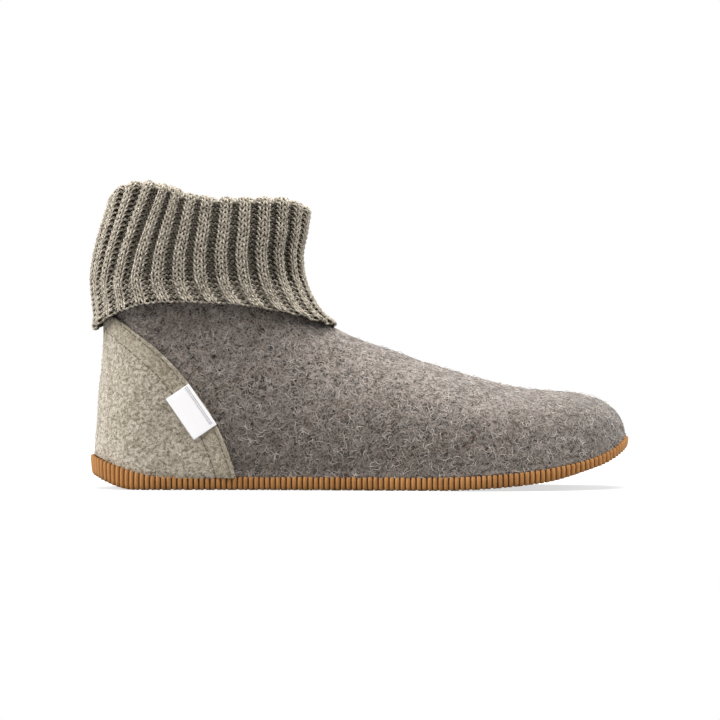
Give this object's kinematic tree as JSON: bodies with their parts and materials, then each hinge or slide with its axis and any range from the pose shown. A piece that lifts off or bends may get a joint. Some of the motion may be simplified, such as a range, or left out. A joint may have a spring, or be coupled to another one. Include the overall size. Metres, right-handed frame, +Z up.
{
  "type": "slipper boot",
  "caption": "Ankle-high slipper boot with a felted wool upper, light felt heel counter, folded rib-knit cuff, ribbed rubber cup sole and felt insole.",
  "frame": {"origin": "on the ground under the middle of the boot's box", "axes": "+X along the foot to the toe, +Z up, -Y to the outer side of the foot"},
  "size_m": [0.2648, 0.0964, 0.1511],
  "materials": {
    "rubber": "matte",
    "felt_dark": "fuzzy matte",
    "felt_light": "fuzzy matte",
    "knit": "matte melange knit",
    "felt_insole": "matte",
    "label_weave": "satin weave"
  },
  "bodies": {
    "root": {"outsole": "rubber", "upper": "felt_dark", "heel_counter": "felt_light", "knit_cuff": "knit", "insole": "felt_insole", "side_label": "label_weave"}
  },
  "joints": []
}
